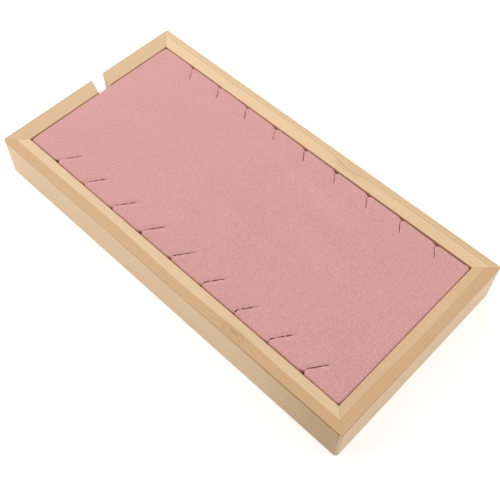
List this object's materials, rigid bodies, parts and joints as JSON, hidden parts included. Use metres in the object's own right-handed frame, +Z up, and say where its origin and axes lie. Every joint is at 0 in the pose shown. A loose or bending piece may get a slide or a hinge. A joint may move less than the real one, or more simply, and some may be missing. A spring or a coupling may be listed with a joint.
{
  "type": "necklace display tray",
  "caption": "Shallow mitred wooden tray with a lift-out microfibre pad, slit along both long edges to hold the ends of necklace chains laid across it.",
  "frame": {"origin": "centre of the tray's underside, level with the feet of the rails", "axes": "+X across the tray, +Y along it towards the end rail with the finger notch, +Z up"},
  "size_m": [0.176, 0.35, 0.037],
  "materials": {
    "rail_wood": "satin",
    "ledger_wood": "sawn",
    "plywood": "sanded",
    "steel": "plain",
    "microfibre": "suede nap",
    "foam": "matt",
    "board": "matt",
    "lining": "matt"
  },
  "bodies": {
    "frame": {"left_rail": "rail_wood", "right_rail": "rail_wood", "plain_end_rail": "rail_wood", "notched_end_rail": "rail_wood", "left_ledger": "ledger_wood", "right_ledger": "ledger_wood", "plain_end_ledger": "ledger_wood", "notched_end_ledger": "ledger_wood", "base_panel": "plywood", "base_brads": "steel", "corner_wedges": "steel"},
    "insert": {"fabric_cover": "microfibre", "foam_pad": "foam", "backing_board": "board", "underside_lining": "lining"}
  },
  "joints": [
    {"name": "insert_lift", "type": "slide", "parent": "frame", "child": "insert", "axis": [0, 0, 1], "range_m": [0, 0.04]}
  ]
}
